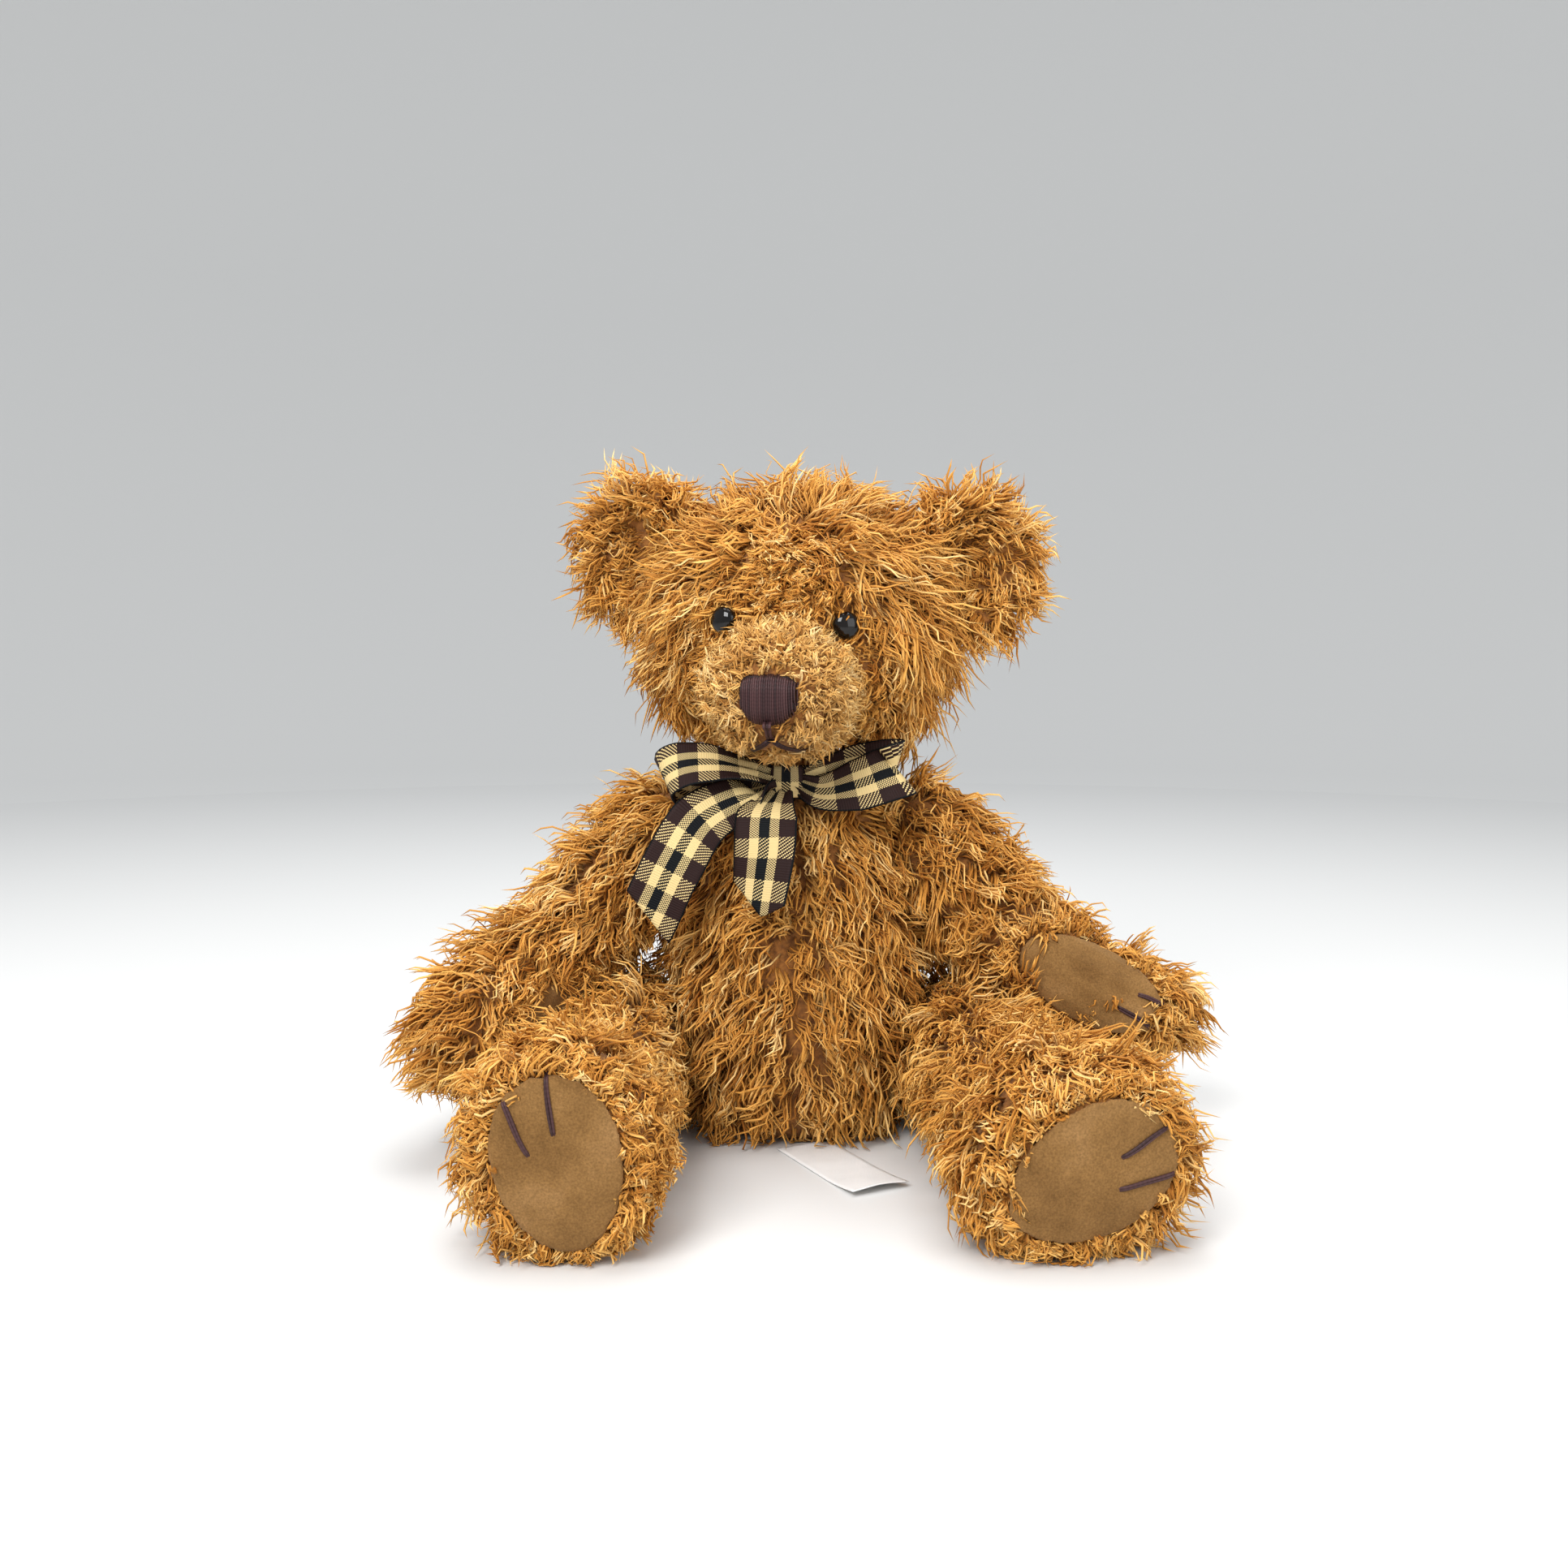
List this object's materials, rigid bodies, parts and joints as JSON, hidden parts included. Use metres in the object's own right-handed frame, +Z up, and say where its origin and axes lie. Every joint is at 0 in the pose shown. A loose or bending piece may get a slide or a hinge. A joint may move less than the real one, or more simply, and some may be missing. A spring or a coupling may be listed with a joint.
{
  "type": "jointed teddy bear",
  "caption": "Seated plush teddy bear with a turning head and turning arms and legs, suede pads, stitched nose and a plaid ribbon bow.",
  "frame": {"origin": "middle of the seated bear's footprint, on the surface it sits on", "axes": "+Z up; the bear faces -Y; +X is the bear's own left side and the direction of its arm span"},
  "size_m": [0.2855, 0.2054, 0.2477],
  "materials": {
    "plush": "long curly pile, golden cinnamon",
    "muzzle_plush": "short clipped curly pile",
    "fill": "polyester fibre fill",
    "joint_plastic": "moulded, natural",
    "suede": "brushed suede cloth",
    "dark_thread": "satin embroidery thread",
    "eye_black": "polished",
    "plaid_ribbon": "woven plaid ribbon in brown, black and cream",
    "label_satin": "blank satin tape"
  },
  "bodies": {
    "torso": {"blank_label": "label_satin", "left_hip_torso_washer": "joint_plastic", "left_shoulder_torso_washer": "joint_plastic", "neck_torso_washer": "joint_plastic", "ribbon_knot": "plaid_ribbon", "ribbon_left_loop": "plaid_ribbon", "ribbon_left_tail": "plaid_ribbon", "ribbon_neck_band": "plaid_ribbon", "ribbon_right_loop": "plaid_ribbon", "ribbon_right_tail": "plaid_ribbon", "right_hip_torso_washer": "joint_plastic", "right_shoulder_torso_washer": "joint_plastic", "torso_skin": "plush", "torso_stuffing": "fill"},
    "head": {"head_skin": "plush", "head_stuffing": "fill", "left_ear_back": "plush", "left_ear_lining": "plush", "left_eye": "eye_black", "left_eye_washer": "joint_plastic", "mouth_stitch": "dark_thread", "muzzle_skin": "muzzle_plush", "muzzle_stuffing": "fill", "neck_lock_washer": "joint_plastic", "neck_stud_disc": "joint_plastic", "nose_embroidery": "dark_thread", "right_ear_back": "plush", "right_ear_lining": "plush", "right_eye": "eye_black", "right_eye_washer": "joint_plastic"},
    "left_arm": {"left_arm_skin": "plush", "left_arm_stuffing": "fill", "left_paw_claw_stitch_1": "dark_thread", "left_paw_claw_stitch_2": "dark_thread", "left_paw_pad": "suede", "left_shoulder_lock_washer": "joint_plastic", "left_shoulder_stud_disc": "joint_plastic"},
    "right_arm": {"right_arm_skin": "plush", "right_arm_stuffing": "fill", "right_paw_claw_stitch_1": "dark_thread", "right_paw_claw_stitch_2": "dark_thread", "right_paw_pad": "suede", "right_shoulder_lock_washer": "joint_plastic", "right_shoulder_stud_disc": "joint_plastic"},
    "left_leg": {"left_foot_claw_stitch_1": "dark_thread", "left_foot_claw_stitch_2": "dark_thread", "left_foot_pad": "suede", "left_hip_lock_washer": "joint_plastic", "left_hip_stud_disc": "joint_plastic", "left_leg_skin": "plush", "left_leg_stuffing": "fill"},
    "right_leg": {"right_foot_claw_stitch_1": "dark_thread", "right_foot_claw_stitch_2": "dark_thread", "right_foot_pad": "suede", "right_hip_lock_washer": "joint_plastic", "right_hip_stud_disc": "joint_plastic", "right_leg_skin": "plush", "right_leg_stuffing": "fill"}
  },
  "joints": [
    {"name": "neck_turn", "type": "hinge", "parent": "torso", "child": "head", "pos_m": [-0.0081, 0.0564, 0.1475], "axis": [0, 0, 1], "continuous": true},
    {"name": "left_shoulder_turn", "type": "hinge", "parent": "torso", "child": "left_arm", "pos_m": [0.0259, 0.0564, 0.112], "axis": [1, 0, 0], "continuous": true},
    {"name": "right_shoulder_turn", "type": "hinge", "parent": "torso", "child": "right_arm", "pos_m": [-0.0421, 0.0564, 0.112], "axis": [1, 0, 0], "continuous": true},
    {"name": "left_hip_turn", "type": "hinge", "parent": "torso", "child": "left_leg", "pos_m": [0.0354, 0.0524, 0.034], "axis": [0.9998, 0, -0.0175], "range_deg": [-10, 110]},
    {"name": "right_hip_turn", "type": "hinge", "parent": "torso", "child": "right_leg", "pos_m": [-0.0516, 0.0524, 0.034], "axis": [0.9998, 0, 0.0175], "range_deg": [-10, 110]}
  ]
}
